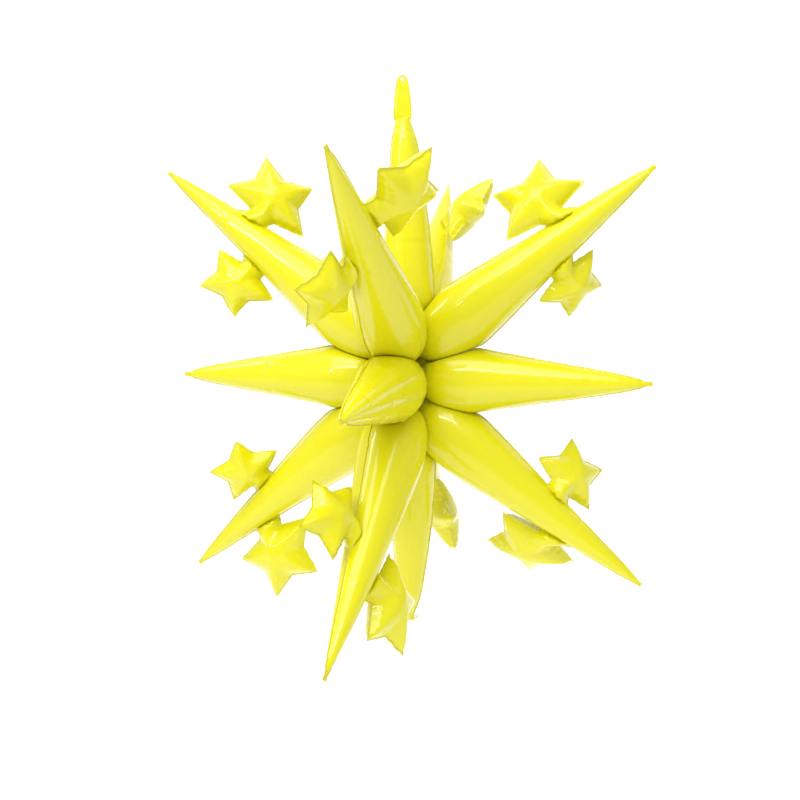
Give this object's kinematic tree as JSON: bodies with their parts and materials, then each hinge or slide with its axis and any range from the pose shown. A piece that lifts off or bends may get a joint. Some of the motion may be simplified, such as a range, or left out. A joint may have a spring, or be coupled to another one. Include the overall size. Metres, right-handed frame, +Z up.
{
  "type": "starburst foil balloon",
  "caption": "Hanging starburst balloon of inflated tapered foil spikes on one centre cord, with star bubbles on the slanting spikes and a holed hanging tab.",
  "frame": {"origin": "centre of the hole in the top hanging tab", "axes": "+Z up along the centre cord, +X to the right-hand spikes, -Y to the front spikes, +Y along the hole"},
  "size_m": [0.8146, 0.8145, 0.946],
  "materials": {
    "foil": "opaque pale lemon balloon film, gloss",
    "valve_film": "milky inlet film, satin",
    "cord": "twisted polyester cord"
  },
  "bodies": {
    "hang_tab": {"hang_tab": "foil"},
    "top_spike": {"top_spike": "foil"},
    "centre_cord": {"centre_cord": "cord", "top_base_tab": "foil", "bottom_base_tab": "foil"},
    "upper_right_base_tab": {"upper_right_base_tab": "foil"},
    "upper_right_spike": {"upper_right_spike": "foil", "upper_right_valve": "valve_film"},
    "upper_right_large_star": {"upper_right_large_star": "foil"},
    "upper_right_small_star": {"upper_right_small_star": "foil"},
    "upper_rear_base_tab": {"upper_rear_base_tab": "foil"},
    "upper_rear_spike": {"upper_rear_spike": "foil", "upper_rear_valve": "valve_film"},
    "upper_rear_large_star": {"upper_rear_large_star": "foil"},
    "upper_rear_small_star": {"upper_rear_small_star": "foil"},
    "upper_left_base_tab": {"upper_left_base_tab": "foil"},
    "upper_left_spike": {"upper_left_spike": "foil", "upper_left_valve": "valve_film"},
    "upper_left_large_star": {"upper_left_large_star": "foil"},
    "upper_left_small_star": {"upper_left_small_star": "foil"},
    "upper_front_base_tab": {"upper_front_base_tab": "foil"},
    "upper_front_spike": {"upper_front_spike": "foil", "upper_front_valve": "valve_film"},
    "upper_front_large_star": {"upper_front_large_star": "foil"},
    "upper_front_small_star": {"upper_front_small_star": "foil"},
    "lower_right_base_tab": {"lower_right_base_tab": "foil"},
    "lower_right_spike": {"lower_right_spike": "foil", "lower_right_valve": "valve_film"},
    "lower_right_large_star": {"lower_right_large_star": "foil"},
    "lower_right_small_star": {"lower_right_small_star": "foil"},
    "lower_rear_base_tab": {"lower_rear_base_tab": "foil"},
    "lower_rear_spike": {"lower_rear_spike": "foil", "lower_rear_valve": "valve_film"},
    "lower_rear_large_star": {"lower_rear_large_star": "foil"},
    "lower_rear_small_star": {"lower_rear_small_star": "foil"},
    "lower_left_base_tab": {"lower_left_base_tab": "foil"},
    "lower_left_spike": {"lower_left_spike": "foil", "lower_left_valve": "valve_film"},
    "lower_left_large_star": {"lower_left_large_star": "foil"},
    "lower_left_small_star": {"lower_left_small_star": "foil"},
    "lower_front_base_tab": {"lower_front_base_tab": "foil"},
    "lower_front_spike": {"lower_front_spike": "foil", "lower_front_valve": "valve_film"},
    "lower_front_large_star": {"lower_front_large_star": "foil"},
    "lower_front_small_star": {"lower_front_small_star": "foil"},
    "right_base_tab": {"right_base_tab": "foil"},
    "right_spike": {"right_spike": "foil", "right_valve": "valve_film"},
    "rear_base_tab": {"rear_base_tab": "foil"},
    "rear_spike": {"rear_spike": "foil", "rear_valve": "valve_film"},
    "left_base_tab": {"left_base_tab": "foil"},
    "left_spike": {"left_spike": "foil", "left_valve": "valve_film"},
    "front_base_tab": {"front_base_tab": "foil"},
    "front_spike": {"front_spike": "foil", "front_valve": "valve_film"},
    "bottom_spike": {"bottom_spike": "foil"},
    "bottom_end_tab": {"bottom_end_tab": "foil"}
  },
  "joints": [
    {"name": "hang_tab_fold", "type": "hinge", "parent": "hang_tab", "child": "top_spike", "pos_m": [0, 0, -0.061], "axis": [1, 0, 0], "range_deg": [-60, 60]},
    {"name": "top_spike_turn", "type": "hinge", "parent": "top_spike", "child": "centre_cord", "pos_m": [0, 0, -0.44], "axis": [0, 0, 1], "range_deg": [-45, 45]},
    {"name": "upper_right_swing", "type": "hinge", "parent": "centre_cord", "child": "upper_right_base_tab", "pos_m": [0, 0, -0.464], "axis": [0, 0, 1], "range_deg": [-12, 12]},
    {"name": "upper_right_twist", "type": "hinge", "parent": "upper_right_base_tab", "child": "upper_right_spike", "pos_m": [0.01886, 0, -0.44915], "axis": [0.7856, 0, 0.6187], "range_deg": [-90, 90]},
    {"name": "upper_right_large_star_flex", "type": "hinge", "parent": "upper_right_spike", "child": "upper_right_large_star", "pos_m": [0.25691, -0.00121, -0.21759], "axis": [0.8652, 0.0049, 0.5014], "range_deg": [-20, 20], "stiffness_Nm_per_rad": 0.02},
    {"name": "upper_right_small_star_flex", "type": "hinge", "parent": "upper_right_spike", "child": "upper_right_small_star", "pos_m": [0.27048, 0.00142, -0.30271], "axis": [0.6902, -0.0049, 0.7236], "range_deg": [-20, 20], "stiffness_Nm_per_rad": 0.02},
    {"name": "upper_rear_swing", "type": "hinge", "parent": "centre_cord", "child": "upper_rear_base_tab", "pos_m": [0, 0, -0.464], "axis": [0, 0, 1], "range_deg": [-12, 12]},
    {"name": "upper_rear_twist", "type": "hinge", "parent": "upper_rear_base_tab", "child": "upper_rear_spike", "pos_m": [0, 0.01886, -0.44915], "axis": [0, 0.7856, 0.6187], "range_deg": [-90, 90]},
    {"name": "upper_rear_large_star_flex", "type": "hinge", "parent": "upper_rear_spike", "child": "upper_rear_large_star", "pos_m": [0.0245, 0.26318, -0.22555], "axis": [-0.1, 0.8396, 0.5339], "range_deg": [-20, 20], "stiffness_Nm_per_rad": 0.02},
    {"name": "upper_rear_small_star_flex", "type": "hinge", "parent": "upper_rear_spike", "child": "upper_rear_small_star", "pos_m": [-0.02875, 0.26313, -0.29337], "axis": [0.1, 0.7158, 0.6911], "range_deg": [-20, 20], "stiffness_Nm_per_rad": 0.02},
    {"name": "upper_left_swing", "type": "hinge", "parent": "centre_cord", "child": "upper_left_base_tab", "pos_m": [0, 0, -0.464], "axis": [0, 0, 1], "range_deg": [-12, 12]},
    {"name": "upper_left_twist", "type": "hinge", "parent": "upper_left_base_tab", "child": "upper_left_spike", "pos_m": [-0.01886, 0, -0.44915], "axis": [-0.7856, 0, 0.6187], "range_deg": [-90, 90]},
    {"name": "upper_left_large_star_flex", "type": "hinge", "parent": "upper_left_spike", "child": "upper_left_large_star", "pos_m": [-0.25698, 0.00302, -0.21768], "axis": [-0.8649, -0.0123, 0.5018], "range_deg": [-20, 20], "stiffness_Nm_per_rad": 0.02},
    {"name": "upper_left_small_star_flex", "type": "hinge", "parent": "upper_left_spike", "child": "upper_left_small_star", "pos_m": [-0.2704, -0.00354, -0.3026], "axis": [-0.6905, 0.0123, 0.7232], "range_deg": [-20, 20], "stiffness_Nm_per_rad": 0.02},
    {"name": "upper_front_swing", "type": "hinge", "parent": "centre_cord", "child": "upper_front_base_tab", "pos_m": [0, 0, -0.464], "axis": [0, 0, 1], "range_deg": [-12, 12]},
    {"name": "upper_front_twist", "type": "hinge", "parent": "upper_front_base_tab", "child": "upper_front_spike", "pos_m": [0, -0.01886, -0.44915], "axis": [0, -0.7856, 0.6187], "range_deg": [-90, 90]},
    {"name": "upper_front_large_star_flex", "type": "hinge", "parent": "upper_front_spike", "child": "upper_front_large_star", "pos_m": [0.01988, -0.26078, -0.2225], "axis": [-0.0811, -0.8494, 0.5214], "range_deg": [-20, 20], "stiffness_Nm_per_rad": 0.02},
    {"name": "upper_front_small_star_flex", "type": "hinge", "parent": "upper_front_spike", "child": "upper_front_small_star", "pos_m": [-0.02332, -0.26595, -0.29695], "axis": [0.0811, -0.706, 0.7035], "range_deg": [-20, 20], "stiffness_Nm_per_rad": 0.02},
    {"name": "lower_right_swing", "type": "hinge", "parent": "centre_cord", "child": "lower_right_base_tab", "pos_m": [0, 0, -0.518], "axis": [0, 0, 1], "range_deg": [-12, 12]},
    {"name": "lower_right_twist", "type": "hinge", "parent": "lower_right_base_tab", "child": "lower_right_spike", "pos_m": [0.01886, 0, -0.53285], "axis": [0.7856, 0, -0.6187], "range_deg": [-90, 90]},
    {"name": "lower_right_large_star_flex", "type": "hinge", "parent": "lower_right_spike", "child": "lower_right_large_star", "pos_m": [0.25693, 0.00181, -0.76439], "axis": [0.8651, -0.0074, -0.5015], "range_deg": [-20, 20], "stiffness_Nm_per_rad": 0.02},
    {"name": "lower_right_small_star_flex", "type": "hinge", "parent": "lower_right_spike", "child": "lower_right_small_star", "pos_m": [0.27047, -0.00213, -0.67932], "axis": [0.6903, 0.0074, -0.7235], "range_deg": [-20, 20], "stiffness_Nm_per_rad": 0.02},
    {"name": "lower_rear_swing", "type": "hinge", "parent": "centre_cord", "child": "lower_rear_base_tab", "pos_m": [0, 0, -0.518], "axis": [0, 0, 1], "range_deg": [-12, 12]},
    {"name": "lower_rear_twist", "type": "hinge", "parent": "lower_rear_base_tab", "child": "lower_rear_spike", "pos_m": [0, 0.01886, -0.53285], "axis": [0, 0.7856, -0.6187], "range_deg": [-90, 90]},
    {"name": "lower_rear_large_star_flex", "type": "hinge", "parent": "lower_rear_spike", "child": "lower_rear_large_star", "pos_m": [0.01185, 0.25819, -0.76279], "axis": [-0.0484, 0.86, -0.508], "range_deg": [-20, 20], "stiffness_Nm_per_rad": 0.02},
    {"name": "lower_rear_small_star_flex", "type": "hinge", "parent": "lower_rear_spike", "child": "lower_rear_small_star", "pos_m": [-0.01391, 0.26898, -0.6812], "axis": [0.0484, 0.6955, -0.7169], "range_deg": [-20, 20], "stiffness_Nm_per_rad": 0.02},
    {"name": "lower_left_swing", "type": "hinge", "parent": "centre_cord", "child": "lower_left_base_tab", "pos_m": [0, 0, -0.518], "axis": [0, 0, 1], "range_deg": [-12, 12]},
    {"name": "lower_left_twist", "type": "hinge", "parent": "lower_left_base_tab", "child": "lower_left_spike", "pos_m": [-0.01886, 0, -0.53285], "axis": [-0.7856, 0, -0.6187], "range_deg": [-90, 90]},
    {"name": "lower_left_large_star_flex", "type": "hinge", "parent": "lower_left_spike", "child": "lower_left_large_star", "pos_m": [-0.25698, 0.00302, -0.76432], "axis": [-0.8649, -0.0123, -0.5018], "range_deg": [-20, 20], "stiffness_Nm_per_rad": 0.02},
    {"name": "lower_left_small_star_flex", "type": "hinge", "parent": "lower_left_spike", "child": "lower_left_small_star", "pos_m": [-0.2704, -0.00354, -0.6794], "axis": [-0.6905, 0.0123, -0.7232], "range_deg": [-20, 20], "stiffness_Nm_per_rad": 0.02},
    {"name": "lower_front_swing", "type": "hinge", "parent": "centre_cord", "child": "lower_front_base_tab", "pos_m": [0, 0, -0.518], "axis": [0, 0, 1], "range_deg": [-12, 12]},
    {"name": "lower_front_twist", "type": "hinge", "parent": "lower_front_base_tab", "child": "lower_front_spike", "pos_m": [0, -0.01886, -0.53285], "axis": [0, -0.7856, -0.6187], "range_deg": [-90, 90]},
    {"name": "lower_front_large_star_flex", "type": "hinge", "parent": "lower_front_spike", "child": "lower_front_large_star", "pos_m": [0.01627, -0.25941, -0.76124], "axis": [-0.0664, -0.855, -0.5143], "range_deg": [-20, 20], "stiffness_Nm_per_rad": 0.02},
    {"name": "lower_front_small_star_flex", "type": "hinge", "parent": "lower_front_spike", "child": "lower_front_small_star", "pos_m": [-0.01909, -0.26756, -0.68301], "axis": [0.0664, -0.7004, -0.7106], "range_deg": [-20, 20], "stiffness_Nm_per_rad": 0.02},
    {"name": "right_swing", "type": "hinge", "parent": "centre_cord", "child": "right_base_tab", "pos_m": [0, 0, -0.491], "axis": [0, 0, 1], "range_deg": [-12, 12]},
    {"name": "right_twist", "type": "hinge", "parent": "right_base_tab", "child": "right_spike", "pos_m": [0.024, 0, -0.491], "axis": [1, 0, 0], "range_deg": [-90, 90]},
    {"name": "rear_swing", "type": "hinge", "parent": "centre_cord", "child": "rear_base_tab", "pos_m": [0, 0, -0.491], "axis": [0, 0, 1], "range_deg": [-12, 12]},
    {"name": "rear_twist", "type": "hinge", "parent": "rear_base_tab", "child": "rear_spike", "pos_m": [0, 0.024, -0.491], "axis": [0, 1, 0], "range_deg": [-90, 90]},
    {"name": "left_swing", "type": "hinge", "parent": "centre_cord", "child": "left_base_tab", "pos_m": [0, 0, -0.491], "axis": [0, 0, 1], "range_deg": [-12, 12]},
    {"name": "left_twist", "type": "hinge", "parent": "left_base_tab", "child": "left_spike", "pos_m": [-0.024, 0, -0.491], "axis": [-1, 0, 0], "range_deg": [-90, 90]},
    {"name": "front_swing", "type": "hinge", "parent": "centre_cord", "child": "front_base_tab", "pos_m": [0, 0, -0.491], "axis": [0, 0, 1], "range_deg": [-12, 12]},
    {"name": "front_twist", "type": "hinge", "parent": "front_base_tab", "child": "front_spike", "pos_m": [0, -0.024, -0.491], "axis": [0, -1, 0], "range_deg": [-90, 90]},
    {"name": "bottom_spike_turn", "type": "hinge", "parent": "centre_cord", "child": "bottom_spike", "pos_m": [0, 0, -0.542], "axis": [0, 0, 1], "range_deg": [-45, 45]},
    {"name": "bottom_tab_fold", "type": "hinge", "parent": "bottom_spike", "child": "bottom_end_tab", "pos_m": [0, 0, -0.921], "axis": [1, 0, 0], "range_deg": [-130, 15]}
  ]
}
